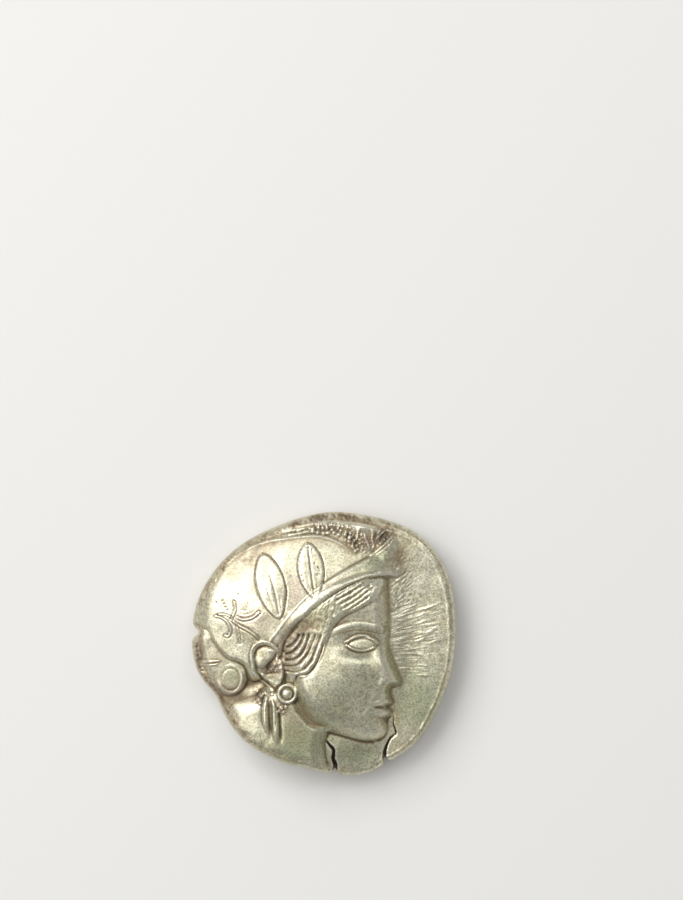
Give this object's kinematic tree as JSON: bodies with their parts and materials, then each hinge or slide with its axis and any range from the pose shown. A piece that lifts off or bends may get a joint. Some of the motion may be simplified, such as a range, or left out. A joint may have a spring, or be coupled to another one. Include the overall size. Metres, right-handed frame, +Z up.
{
  "type": "struck silver coin, ancient Greek tetradrachm",
  "caption": "Thick hand-struck silver coin lying flat: a helmeted head in high relief above, an owl in a sunken square below.",
  "frame": {"origin": "under the middle of the coin's bounding box, on the plane it lies on", "axes": "+Z up out of the obverse, +Y towards the helmet's crest, +X the way the head faces"},
  "size_m": [0.0234, 0.0234, 0.006],
  "materials": {
    "silver": "worn struck silver, satin, with warm grey toning and darker dirt in the recesses"
  },
  "bodies": {
    "root": {"coin": "silver"}
  },
  "joints": []
}
